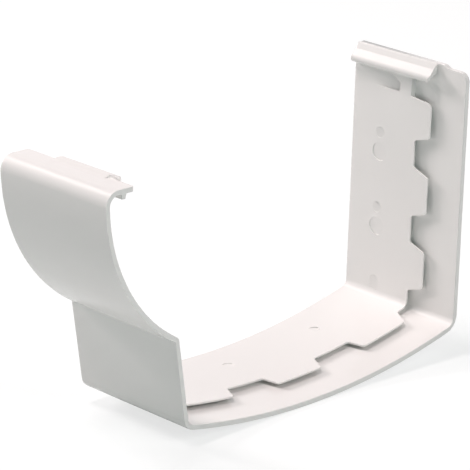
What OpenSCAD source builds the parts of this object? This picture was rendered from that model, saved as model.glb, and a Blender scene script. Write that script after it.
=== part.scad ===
// Gutter union for a moulded (ogee) rainwater gutter, moulded in one piece
// The section lies in the XZ plane and the gutter runs along Y
// The front is at low X, and the fascia side at high X
// Origin: middle of the length, middle of the width, lowest point of the belly

/* [Body] */
// length along the gutter
union_len = 42.6; // [40:0.2:60]
// width from the front round to the fascia face
union_w = 140.6; // [136:0.2:150]
// thickness of the outer shell
shell_t = 1.45; // [1.2:0.05:1.8]

/* [Front] */
// radius of the front quarter round, outside
round_r = 52.6; // [50:0.2:56]
// height of the centre of the quarter round over the belly
round_h = 77.2; // [75:0.2:79]
// height of the flat top of the front flange over that centre
flange_up = 2.2; // [1.2:0.1:3]
// inside radius between the flange and the front round
flange_in = 2.8; // [2:0.1:3.2]
// reach of the flange from the front of the round to its inner edge
flange_reach = 10.3; // [9.6:0.1:12]
// rounding of the near corner of the flange, seen from above
flange_corner = 1.6; // [0.6:0.1:2.4]
// height of the gripping leg under the flange
leg_h = 1.5; // [1:0.1:2.5]
// thickness of the gripping leg
leg_t = 1.4; // [1:0.1:1.6]
// distance from the inner edge of the flange back to the leg
leg_in = 3.4; // [3:0.1:3.8]
// slant of the lower front wall from upright, in degrees
wall_lean = 9.5; // [7:0.5:12]
// distance from the front of the round to the lower front wall
step_in = 26.05; // [25.6:0.05:26.6]
// depth below the centre of the round at which that distance is taken
step_down = 46.5; // [46:0.1:47]
// rounding of the hollow corner between the round and the lower wall, outside
step_r = 0.4; // [0.2:0.1:1]

/* [Front lip] */
// height of the lip over the flange
lip_h = 0.75; // [0.5:0.05:1.2]
// overhang of the lip past the inner edge of the flange
lip_over = 0.9; // [0.6:0.1:1.4]
// width of the lip's slope on the flange
lip_w = 2.4; // [1.6:0.1:3]
// distance from the near end to the lip
lip_from = 5.2; // [4:0.2:8]
// length of the upright block at the near end of the lip
block_len = 4.6; // [3:0.2:6]
// distance from the far end to the lip
lip_to = 12; // [7:0.2:13]
// length of the slant at each end of the lip
lip_run = 2; // [0.8:0.1:2.4]

/* [Belly] */
// radius of the belly, outside
belly_r = 227.4; // [215:0.2:240]
// distance of the lowest point from the fascia face
belly_in = 62; // [58:0.5:66]
// inside radius of the front bottom corner
toe_in = 0.75; // [0.4:0.05:1.5]
// outside radius of the back bottom corner
heel_out = 5.2; // [4.6:0.1:6]
// inside radius of the shell in that corner
heel_in = 2.2; // [1.6:0.1:4]
// inside radius of the tongue in that corner
heel_tongue = 4.4; // [3:0.1:5]

/* [Back wall] */
// height of the near part of the back wall over the belly
back_h = 86.7; // [86.2:0.1:87.2]
// extra height of the hooked part
hook_rise = 0.9; // [0.5:0.1:1.2]
// rounding of the near top corner
back_r = 2.8; // [2:0.1:4]
// where the top edge starts to rise, from the near end
rise_from = 6.8; // [6:0.2:8]
// length of that rise
rise_run = 2.4; // [1:0.2:3]

/* [Hook] */
// where the lip of the hook starts, from the near end
hook_from = 12.6; // [11.6:0.2:15]
// how much nearer the hook starts at the wall than at its lip
hook_slant = 1.2; // [0:0.1:2]
// depth of the flat top, from the fascia face
crown_in = 1.5; // [1.5:0.1:1.9]
// depth of the bend where the lip flares out, from the fascia face
bend_in = 3.1; // [2.8:0.1:3.4]
// drop of that bend below the flat top
bend_drop = 1.95; // [1.6:0.05:2.2]
// radius of the round nose of the lip
nose_r = 1.15; // [0.8:0.05:1.25]
// depth of the nose's centre, from the fascia face
nose_in = 3.9; // [3.7:0.1:4.1]
// drop of the nose's centre below the flat top
nose_drop = 4.2; // [3.9:0.1:4.4]

/* [Tongue] */
// thickness of the tongue
tongue_t = 0.5; // [0.4:0.05:1]
// slot between the shell and the tongue, for the wall of the gutter
slot_gap = 1.2; // [0.9:0.05:1.4]
// distance from the near end to the tabs
tab_from = 11.6; // [10:0.1:12.4]
// rounding of the corners of the tabs
tab_r = 1; // [0.6:0.1:1.2]
// depth of the tongue's top edge below the near part of the back wall
tongue_drop = 10.7; // [10.2:0.1:12]
// drop of that edge from the web to the near end of the tab
tongue_fall = 0.8; // [0:0.1:1.2]
// height over the belly of the tongue's top edge on the front round
front_h = 68; // [60:0.5:72]

/* [Notches] */
// depth of the notches between the tabs
notch_d = 5.8; // [4:0.1:6]
// pitch of the notches on the belly, counted from the fascia face
belly_pitch = 35.35; // [34:0.05:37]
// width of a belly notch at its bottom
belly_notch = 14.2; // [12:0.1:16]
// slant of a belly notch's side towards the front, and of its other side
belly_slant = [3, 0.9];
// pitch of the notches on the back wall
back_pitch = 23.4; // [22:0.1:25]
// height over the belly of the middle of the corner notch
back_start = 12; // [11:0.1:13]
// width of a back wall notch at its bottom
back_notch = 8.2; // [7:0.1:9]
// slant of a back wall notch's lower side, and of its upper side
back_slant = [2.2, 1.7];

/* [Middle web] */
// distance from the near end to the web that joins the tongue to the shell
web_from = 19.5; // [18.8:0.1:21]
// length of the web along the gutter
web_len = 4.5; // [3:0.1:6]
// length of the sloping pocket beside the web, under the hook
pocket_len = 9.5; // [7:0.5:12]
// height of the pocket's bottom edge over the tongue's top edge
pocket_up = 0.4; // [0.2:0.1:1]
// length of the gusset between the web and the hook
gusset_len = 4.2; // [2:0.2:5]
// height of the gusset's foot over the tongue's top edge
gusset_h = 3.2; // [2:0.1:3.6]

/* [Dimples] */
// distance from the near end to the row of dimples
dimple_from = 31.1; // [30:0.1:34]
// diameter of the small dimples
small_d = 3.4; // [2:0.1:4]
// height of a small dimple over the middle of the notch beside it
small_up = 3.4; // [2:0.1:4]
// diameter of the large dimples
large_d = 5.6; // [4:0.1:6]
// depth of a large dimple below the middle of the notch beside it
large_down = 2.6; // [2:0.1:4]
// distance of a belly dimple from the middle of the notch beside it, towards the fascia
belly_dimple = 6.8; // [4:0.2:9]
// depth of the dimples
dimple_deep = 0.3; // [0.1:0.05:0.3]

/* [Hidden] */
$fn = 48;
// how far a cutter runs past the face it cuts
past = 0.5;
half_w = union_w / 2;
half_len = union_len / 2;
slot_in = shell_t + slot_gap;
deep = slot_in + tongue_t;
toe_r = deep + toe_in;
flange_r = shell_t + flange_in;
flange_h = round_h + flange_up;
flange_x = flange_reach - half_w;
tongue_h = back_h - tongue_drop;
hook_h = back_h + hook_rise;
web_to = web_from + web_len;
// centre of the quarter round, and of the flange corner that runs into it
round_c = [round_r - half_w, round_h];
flange_z = flange_h - flange_r;
flange_c = [round_c[0] - sqrt(pow(round_r - flange_r, 2) - pow(round_h - flange_z, 2)), flange_z];
// direction down the lower front wall, its inward normal, and a point on it
wall_u = [sin(wall_lean), -cos(wall_lean)];
wall_n = [cos(wall_lean), sin(wall_lean)];
wall_p = [step_in - half_w, round_h - step_down];
// centres of the belly and of the front corner arcs
belly_c = [half_w - belly_in, belly_r];
step_c = meet(wall_p - step_r * wall_n, round_c, round_r + step_r);
toe_c = meet(wall_p + toe_r * wall_n, belly_c, belly_r - toe_r);
// angles at which one arc runs into the next
flange_a = bearing(round_c, flange_c);
front_a = 180 + asin((round_h - front_h) / round_r);
step_a = bearing(round_c, step_c);
toe_a = bearing(belly_c, toe_c);
// radius of the back bottom corner through the middle of the shell, and on the outer side of the tongue
heel_mid = (heel_out + heel_in) / 2;
heel_slot = heel_tongue + tongue_t;
// depths of the back wall: inner face of the shell, outer and inner face of the tongue
skin_x = half_w - shell_t;
slot_x = half_w - slot_in;
face_x = half_w - deep;
// hook: front of the flat top, bend, nose, and the point where its underside meets the wall
crown = [half_w - crown_in, hook_h];
bend = [half_w - bend_in, hook_h - bend_drop];
nose = [half_w - nose_in, hook_h - nose_drop];
throat = [skin_x, nose[1] + nose_r];
// how far the tongue and the web run up into the hook
root_h = throat[1] + nose_r / 4;
// number of notches on the back wall above the corner notch
back_count = floor((tongue_h - back_start - back_notch) / back_pitch);

function unit(v) = v / norm(v);
function bearing(a, b) = atan2(b[1] - a[1], b[0] - a[0]) + 360;
// where a line down the lower wall through p meets a circle
function meet(p, c, r) =
    let(w = p - c, b = w * wall_u)
    p + (sqrt(b * b - w * w + r * r) - b) * wall_u;
// points of an arc of n steps from angle a to angle b
function arc(c, r, a, b, n) = [for (i = [0 : n]) let(t = a + (b - a) * i / n) c + r * [cos(t), sin(t)]];
function turned(list) = [for (i = [len(list) - 1 : -1 : 0]) list[i]];
// share of a smooth rise that is done after a share t of its run
function risen(t) = (1 - cos(180 * t)) / 2;
// centre of the back bottom corner of radius r at depth d
function heel_c(d, r) =
    let(x = half_w - d - r)
    [x, belly_c[1] - sqrt(pow(belly_r - d - r, 2) - pow(x - belly_c[0], 2))];
// section line at depth d inside the outer face, from an angle on the round to a back corner of radius r
function body_line(d, r, from) =
    let(heel = heel_c(d, r), heel_a = bearing(belly_c, heel))
    concat(
        arc(round_c, round_r - d, from, step_a, 24),
        arc(step_c, step_r + d, step_a - 180, wall_lean, 6),
        arc(toe_c, toe_r - d, 180 + wall_lean, toe_a, 8),
        arc(belly_c, belly_r - d, toe_a, heel_a, 30),
        arc(heel, r, heel_a, 360, 10));
// inner face of the tongue on the belly
function floor_z(x) = belly_c[1] - sqrt(pow(belly_r - deep, 2) - pow(x - belly_c[0], 2));
// rounded corner at p between edges that leave along u and v
function corner(p, u, v, r) =
    let(h = acos(u * v) / 2, m = r / sin(h) * unit(u + v), a = r / tan(h) * u - m, b = r / tan(h) * v - m)
    [for (i = [0 : 4]) p + m + r * unit(a * (4 - i) + b * i)];
// outline of a notch around the middle m, with bottom width w and sides that slant by s
function notch(m, w, s) =
    let(a = [m - w / 2, notch_d], b = [m + w / 2, notch_d], e = [b[0] + s[1], 0], f = [a[0] - s[0], 0])
    let(fa = unit(a - f), be = unit(e - b), side = [tab_r * 2, 0], out = [0, -past])
    concat(
        [f - side + out, f - side],
        corner(f, [-1, 0], fa, tab_r),
        corner(a, -fa, [1, 0], tab_r),
        corner(b, [-1, 0], be, tab_r),
        corner(e, -be, [1, 0], tab_r),
        [e + side, e + side + out]);

// prism of an XZ outline, between two distances from the near end
module along(y0, y1) {
    translate([0, y1 - half_len, 0])
        rotate([90, 0, 0])
            linear_extrude(height = y1 - y0)
                children();
}

// prism of an outline of distance from the near end and height, between two depths
module across(x0, x1) {
    translate([x0, -half_len, 0])
        rotate([90, 0, 90])
            linear_extrude(height = x1 - x0)
                children();
}

// prism of an outline seen from above, with distance from the near end as its second value
module upward(z0, z1) {
    translate([0, -half_len, z0])
        linear_extrude(height = z1 - z0)
            children();
}

// cutter that runs in from the fascia face: an outline of height and distance from the tabs
module back_cutter(reach = deep + past) {
    translate([half_w, tab_from - half_len, 0])
        rotate([0, -90, 0])
            linear_extrude(height = reach)
                children();
}

// outer shell: front flange, quarter round, lower wall, belly and back wall
module shell() {
    join = tongue_h / 2;
    tip = shell_t / 2;
    along(0, union_len)
        polygon(concat(
            arc([flange_x - tip, flange_h - tip], tip, -90, 90, 6),
            arc(flange_c, flange_r, 90, flange_a, 12),
            body_line(0, heel_out, flange_a),
            [[half_w, join], [skin_x, join]],
            turned(body_line(shell_t, heel_in, flange_a)),
            arc(flange_c, flange_in, flange_a, 90, 12)));
    across(skin_x, half_w)
        polygon(concat(
            [[0, join - past]],
            arc([back_r, back_h - back_r], back_r, 180, 90, 8),
            [for (i = [0 : 6]) [rise_from + rise_run * i / 6, back_h + hook_rise * risen(i / 6)]],
            [[union_len, hook_h], [union_len, join - past]]));
}

// what rounds the near corner of the flange, seen from above
module flange_cut() {
    c = [flange_x - flange_corner, flange_corner];
    upward(flange_h - leg_h - shell_t, flange_h + past)
        polygon(concat(
            arc(c, flange_corner, 0, -90, 6),
            [[c[0], -past], [flange_x + past, -past], [flange_x + past, flange_corner]]));
}

// leg under the flange that grips the front bead of the gutter
module leg() {
    x = flange_x - leg_in;
    z = flange_h - shell_t - leg_h;
    r = leg_t / 4;
    along(0, union_len)
        polygon(concat(
            [[x - leg_t, z + leg_h + shell_t / 2]],
            arc([x - leg_t + r, z + r], r, 180, 270, 4),
            arc([x - r, z + r], r, -90, 0, 4),
            [[x, z + leg_h + shell_t / 2]]));
}

// lip along the inner edge of the flange, with an upright block at its near end
module lip() {
    top = flange_h + lip_h;
    low = flange_h - shell_t;
    tip = flange_x + lip_over;
    back = flange_x - lip_w;
    far = union_len - lip_to;
    r = lip_h / 2;
    run = lip_w + lip_over - r;
    side = flange_x - lip_h;
    edge = concat(arc([tip - r, top - r], r, 90, 0, 4), [[tip, low + r], [tip - r, low]]);
    slope = [for (i = [0 : 5]) [back + run * i / 6, flange_h + lip_h * risen(i / 6)]];
    block = [[side, low], [side, flange_h], [side + r, top]];
    intersection() {
        union() {
            along(lip_from + block_len, union_len)
                polygon(concat([[back, low]], slope, edge));
            along(0, lip_from + block_len)
                polygon(concat(block, edge));
        }
        upward(low - past, top + past)
            polygon([[back - past, lip_from], [flange_x - past, lip_from], [tip + past, lip_from + lip_run],
                [tip + past, far - lip_run], [flange_x - past, far], [back - past, far]]);
    }
}

// hook along the top of the back wall: a flat top, a steep face and a lip with a round nose
module hook() {
    start = hook_from - hook_slant;
    tip = nose[0] - nose_r;
    intersection() {
        along(0, union_len)
            polygon(concat(
                [[half_w, throat[1]], [half_w, hook_h], crown, bend],
                arc(nose, nose_r, 135, 315, 10),
                [throat]));
        upward(nose[1] - nose_r - past, hook_h + past)
            polygon([[half_w + past, start], [skin_x, start], [tip, hook_from], [tip - past, hook_from],
                [tip - past, union_len + past], [half_w + past, union_len + past]]);
    }
}

// plain tongue inside the shell, reaching the hook beyond the web
module tongue() {
    along(tab_from, union_len)
        polygon(concat(
            body_line(slot_in, heel_slot, front_a),
            [[slot_x, tongue_h], [face_x, tongue_h]],
            turned(body_line(deep, heel_tongue, front_a))));
    across(face_x, slot_x)
        polygon([[web_from, tongue_h - past], [union_len, tongue_h - past],
            [union_len, root_h], [web_from, root_h]]);
}

// cutters for the notches of the tongue, with the last one round the back bottom corner
module notch_cuts() {
    translate([0, tab_from - half_len, 0])
        for (i = [1 : 2])
            linear_extrude(height = round_h)
                polygon(notch(half_w - i * belly_pitch, belly_notch, belly_slant));
    if (back_count > 0)
        for (i = [1 : back_count])
            back_cutter()
                polygon(notch(back_start + i * back_pitch, back_notch, back_slant));
    intersection() {
        translate([0, tab_from - half_len, 0])
            linear_extrude(height = round_h)
                polygon(notch(half_w, belly_notch, belly_slant));
        back_cutter(belly_notch)
            polygon(notch(0, 2 * back_start + back_notch, back_slant));
    }
}

// cutter that lets the top edge of the tab fall towards the near end and rounds its corner
module top_cut() {
    run = web_from - tab_from;
    low = tongue_h - tongue_fall;
    r = 1.5 * tab_r;
    back_cutter()
        polygon(concat(
            [[low - r, -past], [low - r, 0]],
            corner([low, 0], [-1, 0], unit([tongue_fall, run]), r),
            [[tongue_h, run], [tongue_h + past, run], [tongue_h + past, -past]]));
}

// sloping pocket under the hook, deepest beside the web
module pocket_cut() {
    far = web_to + pocket_len;
    upward(tongue_h + pocket_up, hook_h)
        polygon([[face_x - past, web_to], [skin_x, web_to], [face_x, far], [face_x - past, far]]);
}

// solid behind the pocket, from the tongue to the shell
module pocket_back() {
    a = slot_x - tongue_t / 2;
    b = skin_x + shell_t / 2;
    near = web_to - past;
    far = web_to + pocket_len;
    upward(tongue_h, root_h)
        polygon([[a, near], [b, near], [b, far], [a, far]]);
}

// dimples on the back wall and on the belly, deeper towards the near end or at their foot
module dimple_cuts() {
    y = dimple_from - half_len;
    mid = face_x + dimple_deep / 2;
    for (i = [0 : back_count])
        translate([mid, y, back_start + small_up + i * back_pitch])
            rotate([0, 90, asin(dimple_deep / small_d)])
                translate([0, 0, -small_d])
                    cylinder(h = small_d, d = small_d);
    if (back_count > 0)
        for (i = [1 : back_count])
            translate([mid, y, back_start - large_down + i * back_pitch])
                rotate([0, 90 - asin(dimple_deep / large_d), 0])
                    translate([0, 0, -large_d])
                        cylinder(h = large_d, d = large_d);
    for (i = [1 : 2])
        let(x = half_w - i * belly_pitch + belly_dimple)
            translate([x, y, floor_z(x) - dimple_deep / 2])
                cylinder(h = small_d, d = small_d);
}

// web that joins the tongue to the shell, up to the hook
module web() {
    a = shell_t / 2;
    b = deep - tongue_t / 2;
    along(web_from, web_to) {
        polygon(concat(
            body_line(a, heel_mid, front_a),
            [[half_w - a, tongue_h - past], [half_w - b, tongue_h - past]],
            turned(body_line(b, (heel_slot + heel_tongue) / 2, front_a))));
        polygon([[face_x, tongue_h - 2 * past], [half_w - a, tongue_h - 2 * past],
            [half_w - a, root_h], [face_x, root_h]]);
    }
}

// gusset between the web and the hook, over the pocket
module gusset() {
    z = tongue_h + gusset_h;
    across(face_x, slot_x)
        polygon([[web_to - past, z], [web_to, z], [web_to + gusset_len, z + gusset_len / 2],
            [web_to + gusset_len, root_h], [web_to - past, root_h]]);
}

// the whole moulding, in one piece
module gutter_union() {
    color("white") {
        difference() {
            union() {
                shell();
                leg();
            }
            flange_cut();
        }
        lip();
        hook();
        web();
        gusset();
        difference() {
            union() {
                tongue();
                pocket_back();
            }
            notch_cuts();
            top_cut();
            pocket_cut();
            dimple_cuts();
        }
    }
}

gutter_union();
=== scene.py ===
"""Looks of the gutter union, one white moulding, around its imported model."""

import math

import bmesh
import bpy
from mathutils import Matrix, Vector
from mathutils.geometry import intersect_point_line

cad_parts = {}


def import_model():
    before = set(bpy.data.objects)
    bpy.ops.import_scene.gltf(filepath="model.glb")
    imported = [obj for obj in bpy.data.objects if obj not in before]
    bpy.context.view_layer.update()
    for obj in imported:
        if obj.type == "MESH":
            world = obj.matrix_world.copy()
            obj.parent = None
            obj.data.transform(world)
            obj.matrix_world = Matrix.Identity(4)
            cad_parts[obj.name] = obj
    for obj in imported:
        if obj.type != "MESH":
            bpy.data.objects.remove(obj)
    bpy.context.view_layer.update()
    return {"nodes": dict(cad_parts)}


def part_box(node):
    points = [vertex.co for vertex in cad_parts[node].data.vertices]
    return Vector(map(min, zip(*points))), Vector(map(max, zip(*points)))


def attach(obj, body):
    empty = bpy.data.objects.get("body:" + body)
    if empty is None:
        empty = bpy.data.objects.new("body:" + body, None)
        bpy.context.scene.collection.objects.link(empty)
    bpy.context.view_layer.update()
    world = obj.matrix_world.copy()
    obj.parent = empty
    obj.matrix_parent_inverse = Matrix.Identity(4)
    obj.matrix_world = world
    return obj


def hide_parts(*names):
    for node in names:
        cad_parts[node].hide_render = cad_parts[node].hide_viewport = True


MM = 0.001

# Camera: place, right and up in metres, and the lens that gives the photograph's perspective
CAMERA_PLACE = (-0.54526, -0.54865, 0.31153)
CAMERA_RIGHT = (0.71703, -0.69650, 0.02754)
CAMERA_UP = (0.20681, 0.25030, 0.94582)
FOCAL_PIXELS = 2900
FRAME_PIXELS = 470
SENSOR_WIDTH = 36
CLIP_START = 10 * MM

# Edges that turn more than this are rounded, most of all round the outside of the open ends
SHARP_TURN = math.radians(24)
EDGE_ROUND = 0.2 * MM
RIM_ROUND = 0.45 * MM
LEAST_ROUND = 0.04 * MM
ROUND_SEGMENTS = 3
NORMALS_WEIGHT = 80

# How the room for a rounding is measured: share of a face that it may take, the places along an
# edge where the face is measured, and the greatest width that matters
ROUND_SHARE = 0.45
MEASURED_AT = (0.05, 0.5, 0.95)
WIDE_ENOUGH = 3 * RIM_ROUND

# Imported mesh: points closer than this are one, and faces that turn less than this are one
MERGE = 0.002 * MM
FLAT_TURN = math.radians(0.4)

# Sides of the section are the faces whose normal has less than this along the gutter, and the
# outside is where they face away from the middle of the channel
SIDE_LEAN = 0.5
CHANNEL_MIDDLE = Vector((10 * MM, 0, 50 * MM))

# Hook's section, in millimetres of depth from the fascia face and of drop below its flat top:
# edge of the top, bend, centre and radius of the nose, angle at which the nose starts
HOOK_BUILT = ((1.5, 0), (3.1, 1.95), (3.9, 4.2), 1.15, 135)
HOOK_SEEN = ((2.05, 0), (2.95, 1.85), (3.8, 4.4), 1.4, 131)
HOOK_THROAT = (1.45, 3.05)
HOOK_REACH = 6
ON_OUTLINE = 0.03
NOSE_END = 315
NOSE_STEPS = 10

# Along the gutter: where the hook starts, where its near end stops, how far that end leans for
# each millimetre of depth, and how far it moves, in millimetres, at the edge of the top, the bend,
# the start and the end of the nose, and the throat
HOOK_START = -10 * MM
HOOK_NEAR_END = -8.6 * MM
HOOK_SLANT = 1 / 3
TOP_SHIFT = -0.8
BEND_SHIFT = -0.4
NOSE_SHIFTS = (-1.5, 1.5)
THROAT_SHIFT = 0

# Tongue's inner corner at the heel: centre and radius of the arc in the middle of its thickness,
# angles between which it runs, its reach to each side, and how much tighter it is in the photograph
HEEL_CENTRE = Vector((62.75, 0, 14.4)) * MM
HEEL_RADIUS = 4.65 * MM
HEEL_ANGLES = (-75.9, 0.2)
TONGUE_REACH = 0.32 * MM
HEEL_TIGHTER = 2.0 * MM

# Plastic: its two whites, and its roughness
WHITE = (0.86, 0.85, 0.835, 1)
WARM_WHITE = (0.865, 0.835, 0.82, 1)
ROUGHNESS = 0.2
REFRACTION = 1.53

# Plastic's unevenness: noise scale, detail and roughness of the drift between the whites, of the
# clouds in the gloss and of the moulded skin, then what clouds and skin do to the gloss and height
DRIFT = (22, 3, 0.5)
CLOUD = (90, 4, 0.6)
SKIN = (900, 3, 0.5)
NOISE_MIDDLE = 0.5
CLOUD_GLOSS = 0.08
SKIN_GLOSS = 0.03
CLOUD_HEIGHT = 2
BUMP_STRENGTH = 0.12
BUMP_DISTANCE = 0.02 * MM

# Soft lamps: azimuth and elevation in degrees, width and height in metres, colour, and level,
# where 1 lights a white face that looks at the lamp to white
LAMPS = {
    "far_end": (105, 25, 0.3, 0.3, (1, 0.92, 0.92), 0.68),
    "overhead": (135, 70, 0.3, 0.3, (1, 0.91, 0.91), 0.45),
    "glint": (107, 46.5, 0.42, 0.25, (1, 0.95, 0.93), 0.08),
    "near_end": (270, 38, 0.5, 0.5, (1, 0.98, 0.97), 0.37),
    "front": (225, 12, 0.5, 0.5, (0.6, 1, 0.95), 0.085),
    "fascia_side": (0, 12, 0.5, 0.5, (1, 1, 1), 0.30),
}
LAMP_DISTANCE = 1.1
LAMP_TARGET = Vector((0, 0, 40 * MM))

# Floor: what it gives back to the object, and the shading and the glow that the camera sees
FLOOR_BOUNCE = (0.74, 0.785, 0.78, 1)
FLOOR_SHADE = (0.32, 0.33, 0.33, 1)
FLOOR_GLOW = 0.71
FLOOR_RADIUS = 4.0
FLOOR_SEGMENTS = 64
FLOOR_HEIGHT = -0.02 * MM

PURE_WHITE = (1, 1, 1, 1)


class Value:
    """An output of a node, which adds Math nodes when it is used in a sum."""

    def __init__(self, tree, socket):
        self.tree = tree
        self.socket = socket

    def math(self, operation, first, second):
        return self.tree.node("ShaderNodeMath", {"operation": operation}, {0: first, 1: second})

    def __add__(self, other):
        return self.math("ADD", self, other)

    def __sub__(self, other):
        return self.math("SUBTRACT", self, other)

    def __rsub__(self, other):
        return self.math("SUBTRACT", other, self)

    def __mul__(self, other):
        return self.math("MULTIPLY", self, other)

    def larger(self, other):
        return self.math("MAXIMUM", self, other)

    __radd__ = __add__
    __rmul__ = __mul__


class Tree:
    """The node tree of a material or of the world, empty at the start."""

    def __init__(self, owner):
        owner.use_nodes = True
        self.tree = owner.node_tree
        self.tree.nodes.clear()

    def node(self, kind, settings=None, sockets=None, output=0):
        made = self.tree.nodes.new(kind)
        for name, value in (settings or {}).items():
            setattr(made, name, value)
        for name, value in (sockets or {}).items():
            if isinstance(value, Value):
                self.tree.links.new(value.socket, made.inputs[name])
            else:
                made.inputs[name].default_value = value
        return Value(self, made.outputs[output]) if made.outputs else made

    def mix(self, factor, first, second):
        return self.node("ShaderNodeMix", {"data_type": "RGBA"}, {0: factor, 6: first, 7: second}, 2)


def noise(tree, place, scale, detail, roughness):
    sockets = {"Vector": place, "Scale": scale, "Detail": detail, "Roughness": roughness}
    return tree.node("ShaderNodeTexNoise", None, sockets)


def white_plastic():
    """Smooth moulded white: a faint warm drift, uneven gloss and a very shallow moulded skin."""
    material = bpy.data.materials.new("white_plastic")
    tree = Tree(material)
    place = tree.node("ShaderNodeTexCoord", None, None, "Object")
    drift = noise(tree, place, *DRIFT)
    cloud = noise(tree, place, *CLOUD)
    skin = noise(tree, place, *SKIN)
    colour = tree.mix(drift, WHITE, WARM_WHITE)
    gloss = ROUGHNESS + (cloud - NOISE_MIDDLE) * CLOUD_GLOSS + (skin - NOISE_MIDDLE) * SKIN_GLOSS
    height = skin + cloud * CLOUD_HEIGHT
    bump = tree.node(
        "ShaderNodeBump",
        None,
        {"Strength": BUMP_STRENGTH, "Distance": BUMP_DISTANCE, "Height": height},
    )
    surface = tree.node(
        "ShaderNodeBsdfPrincipled",
        None,
        {"Base Color": colour, "Roughness": gloss, "Normal": bump, "IOR": REFRACTION},
    )
    tree.node("ShaderNodeOutputMaterial", None, {"Surface": surface})
    return material


def floor_material():
    """Pale floor, near white to the camera, with the object's shadow on it."""
    material = bpy.data.materials.new("floor")
    tree = Tree(material)
    seen = tree.node("ShaderNodeLightPath", None, None, "Is Camera Ray")
    colour = tree.mix(seen, FLOOR_BOUNCE, FLOOR_SHADE)
    surface = tree.node("ShaderNodeBsdfDiffuse", None, {"Color": colour})
    strength = seen * FLOOR_GLOW
    glow = tree.node("ShaderNodeEmission", None, {"Color": PURE_WHITE, "Strength": strength})
    both = tree.node("ShaderNodeAddShader", None, {0: surface, 1: glow})
    tree.node("ShaderNodeOutputMaterial", None, {"Surface": both})
    return material


def set_world():
    """White to the camera and in gloss; the lamps alone light the object."""
    world = bpy.data.worlds.new("studio")
    bpy.context.scene.world = world
    tree = Tree(world)
    camera = tree.node("ShaderNodeLightPath", None, None, "Is Camera Ray")
    glossy = tree.node("ShaderNodeLightPath", None, None, "Is Glossy Ray")
    through = tree.node("ShaderNodeLightPath", None, None, "Is Transmission Ray")
    seen = camera.larger(glossy.larger(through))
    light = tree.node("ShaderNodeBackground", None, {"Color": PURE_WHITE, "Strength": seen})
    tree.node("ShaderNodeOutputWorld", None, {"Surface": light})


def add(name, data):
    made = bpy.data.objects.new(name, data)
    bpy.context.scene.collection.objects.link(made)
    return made


def add_lamp(name, azimuth, elevation, width, height, colour, level):
    """Soft lamp aimed at the middle of the object."""
    turn, rise = math.radians(azimuth), math.radians(elevation)
    away = Vector((math.cos(rise) * math.cos(turn), math.cos(rise) * math.sin(turn), math.sin(rise)))
    lamp = bpy.data.lights.new(name, "AREA")
    lamp.shape = "RECTANGLE"
    lamp.size = width
    lamp.size_y = height
    lamp.color = colour
    lamp.energy = level * (math.pi * LAMP_DISTANCE) ** 2
    made = add(name, lamp)
    made.location = LAMP_TARGET + away * LAMP_DISTANCE
    made.rotation_euler = away.to_track_quat("Z", "Y").to_euler()


def add_floor():
    mesh = bpy.data.meshes.new("floor")
    shape = bmesh.new()
    bmesh.ops.create_circle(shape, cap_ends=True, segments=FLOOR_SEGMENTS, radius=FLOOR_RADIUS)
    shape.to_mesh(mesh)
    shape.free()
    mesh.materials.append(floor_material())
    floor = add("floor", mesh)
    floor.location.z = FLOOR_HEIGHT


def add_camera():
    camera = bpy.data.cameras.new("camera")
    camera.sensor_width = SENSOR_WIDTH
    camera.lens = FOCAL_PIXELS * SENSOR_WIDTH / FRAME_PIXELS
    camera.clip_start = CLIP_START
    made = add("camera", camera)
    right = Vector(CAMERA_RIGHT).normalized()
    back = right.cross(Vector(CAMERA_UP)).normalized()
    up = back.cross(right)
    turn = Matrix((right, up, back)).transposed()
    made.matrix_world = Matrix.Translation(CAMERA_PLACE) @ turn.to_4x4()
    bpy.context.scene.camera = made


def width_beside(loop):
    """Width of a face beside one of its edges, at the narrowest of three places."""
    start = loop.vert.co
    run = loop.link_loop_next.vert.co - start
    along = run.normalized()
    inward = loop.face.normal.cross(along)
    flat = [((v.co - start).dot(along), (v.co - start).dot(inward)) for v in loop.face.verts]
    widths = [WIDE_ENOUGH]
    for share in MEASURED_AT:
        x = share * run.length
        for a, b in zip(flat, flat[1:] + flat[:1]):
            if (a[0] - x) * (b[0] - x) < 0:
                widths.append(a[1] + (b[1] - a[1]) * (x - a[0]) / (b[0] - a[0]))
    return min(width for width in widths if width > MERGE)


def room(edge, sharp):
    """The widest rounding of an edge that its faces and its neighbours leave room for."""
    limits = []
    for loop in edge.link_loops:
        limits.append(width_beside(loop) * ROUND_SHARE)
        ahead = loop.link_loop_next
        lost = 0
        for corner, beside in ((loop, loop.link_loop_prev.edge), (ahead, ahead.edge)):
            if not corner.is_convex:
                continue
            if beside in sharp:
                lost += 1 / math.tan(corner.calc_angle() / 2)
            elif corner.calc_angle() < math.pi - SHARP_TURN:
                limits.append(beside.calc_length() * math.sin(corner.calc_angle()) * ROUND_SHARE)
        if lost > 0:
            limits.append(edge.calc_length() / lost * ROUND_SHARE * 2)
    return min(limits)


def runs_on(edge, other, vertex):
    """Whether two edges meet at a vertex without a corner between them."""
    first = edge.other_vert(vertex).co - vertex.co
    second = other.other_vert(vertex).co - vertex.co
    return first.angle(second) > math.pi - SHARP_TURN


def chains(edges):
    """Groups of edges that run on from one another."""
    left = set(edges)
    while left:
        chain = [left.pop()]
        for edge in chain:
            for vertex in edge.verts:
                for other in vertex.link_edges:
                    if other in left and runs_on(edge, other, vertex):
                        left.remove(other)
                        chain.append(other)
        yield chain


def on_outer_rim(edge, half_length):
    """Whether an edge lies round the outside of one of the two open ends."""
    if any(abs(abs(v.co.y) - half_length) > MERGE for v in edge.verts):
        return False
    sides = [f for f in edge.link_faces if abs(f.normal.y) < SIDE_LEAN]
    return any(f.normal.dot(f.calc_center_median() - CHANNEL_MIDDLE) > 0 for f in sides)


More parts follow.
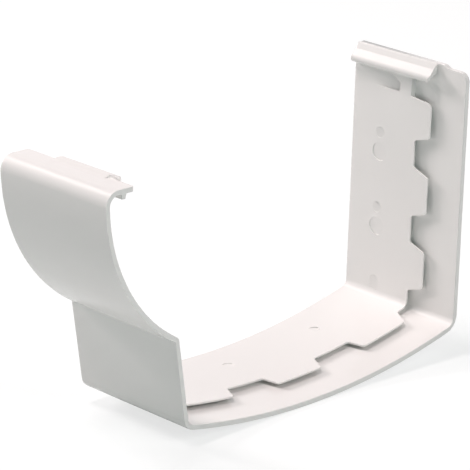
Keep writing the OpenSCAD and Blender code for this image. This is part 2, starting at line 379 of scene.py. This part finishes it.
def hook_outline(top, bend, nose, radius, start):
    """Corners of the hook's section from the edge of its flat top to the throat under the lip."""
    turns = [math.radians(start + (NOSE_END - start) * i / NOSE_STEPS) for i in range(NOSE_STEPS + 1)]
    lip = [(nose[0] - radius * math.cos(a), nose[1] - radius * math.sin(a)) for a in turns]
    return [Vector(point) for point in [top, bend] + lip + [HOOK_THROAT]]


def near_end_shifts():
    """How far the hook's near end moves along the gutter at each corner of the outline."""
    start, end = NOSE_SHIFTS
    lip = [start + (end - start) * i / NOSE_STEPS for i in range(NOSE_STEPS + 1)]
    return [TOP_SHIFT, BEND_SHIFT] + lip + [THROAT_SHIFT]


def reshape_hook(shape, corner):
    """Gives the hook the photograph's broader top, steeper face, thicker lip and slanted near end.

    Returns the edges of the crease above the lip, which is rounded although it turns little.
    """
    built, seen = hook_outline(*HOOK_BUILT), hook_outline(*HOOK_SEEN)
    shifts = near_end_shifts()
    crease = set()
    for vertex in shape.verts:
        place = Vector((corner.x - vertex.co.x, corner.z - vertex.co.z)) / MM
        if vertex.co.y < HOOK_START or max(place) > HOOK_REACH:
            continue
        for i in range(len(built) - 1):
            share = intersect_point_line(place, built[i], built[i + 1])[1]
            share = min(max(share, 0), 1)
            if (built[i].lerp(built[i + 1], share) - place).length < ON_OUTLINE:
                moved = seen[i].lerp(seen[i + 1], share)
                vertex.co.x = corner.x - moved.x * MM
                vertex.co.z = corner.z - moved.y * MM
                if vertex.co.y < HOOK_NEAR_END:
                    shift = shifts[i] * (1 - share) + shifts[i + 1] * share
                    vertex.co.y += (shift + (moved.x - place.x) * HOOK_SLANT) * MM
                if (place - built[1]).length < ON_OUTLINE:
                    crease.add(vertex)
                break
    return {edge for edge in shape.edges if crease.issuperset(edge.verts)}


def tighten_heel(shape):
    """Gives the tongue the tight corner of the photograph where the belly meets the back wall."""
    first, last = (math.radians(angle) for angle in HEEL_ANGLES)
    middle = (first + last) / 2
    slide = Vector((math.cos(middle), 0, math.sin(middle))) / math.cos(last - middle)
    for vertex in shape.verts:
        out = vertex.co - HEEL_CENTRE
        out.y = 0
        on_arc = first <= math.atan2(out.z, out.x) <= last
        if on_arc and abs(out.length - HEEL_RADIUS) < TONGUE_REACH:
            vertex.co += (slide - out.normalized()) * HEEL_TIGHTER


def weigh_edges(sharp, weight, half_length):
    """Gives each smooth run of sharp edges one width of rounding, or keeps the run sharp."""
    for chain in chains(sharp):
        length = sum(edge.calc_length() for edge in chain)
        outer = sum(edge.calc_length() for edge in chain if on_outer_rim(edge, half_length))
        wanted = RIM_ROUND if outer > length / 2 else EDGE_ROUND
        width = min([wanted] + [room(edge, sharp) for edge in chain])
        for edge in chain:
            if width > LEAST_ROUND:
                edge[weight] = width / RIM_ROUND
            else:
                edge.smooth = False


def rounded_copy(source, name, corner):
    """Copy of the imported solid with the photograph's hook and heel and with rounded edges."""
    shape = bmesh.new()
    shape.from_mesh(source.data)
    bmesh.ops.remove_doubles(shape, verts=shape.verts, dist=MERGE)
    bmesh.ops.dissolve_limit(shape, angle_limit=FLAT_TURN, verts=shape.verts, edges=shape.edges)
    weight = shape.edges.layers.float.new("bevel_weight_edge")
    tighten_heel(shape)
    crease = reshape_hook(shape, corner)
    shape.normal_update()
    sharp = crease | {edge for edge in shape.edges if edge.calc_face_angle(0) > SHARP_TURN}
    weigh_edges(sharp, weight, corner.y)
    mesh = bpy.data.meshes.new(name)
    shape.to_mesh(mesh)
    shape.free()
    for face in mesh.polygons:
        face.use_smooth = True
    made = add(name, mesh)
    bevel = made.modifiers.new("rounded_edges", "BEVEL")
    bevel.limit_method = "WEIGHT"
    bevel.width = RIM_ROUND
    bevel.segments = ROUND_SEGMENTS
    bevel.use_clamp_overlap = False
    normals = made.modifiers.new("normals", "WEIGHTED_NORMAL")
    normals.weight = NORMALS_WEIGHT
    normals.keep_sharp = True
    return made


def main():
    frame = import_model()
    scene = bpy.context.scene
    scene.view_settings.view_transform = "Standard"
    add_camera()
    set_world()
    for name, values in LAMPS.items():
        add_lamp(name, *values)
    add_floor()
    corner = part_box("gutter_union")[1]
    moulding = rounded_copy(frame["nodes"]["gutter_union"], "moulding", corner)
    moulding.data.materials.append(white_plastic())
    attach(moulding, "root")
    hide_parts("gutter_union")


main()
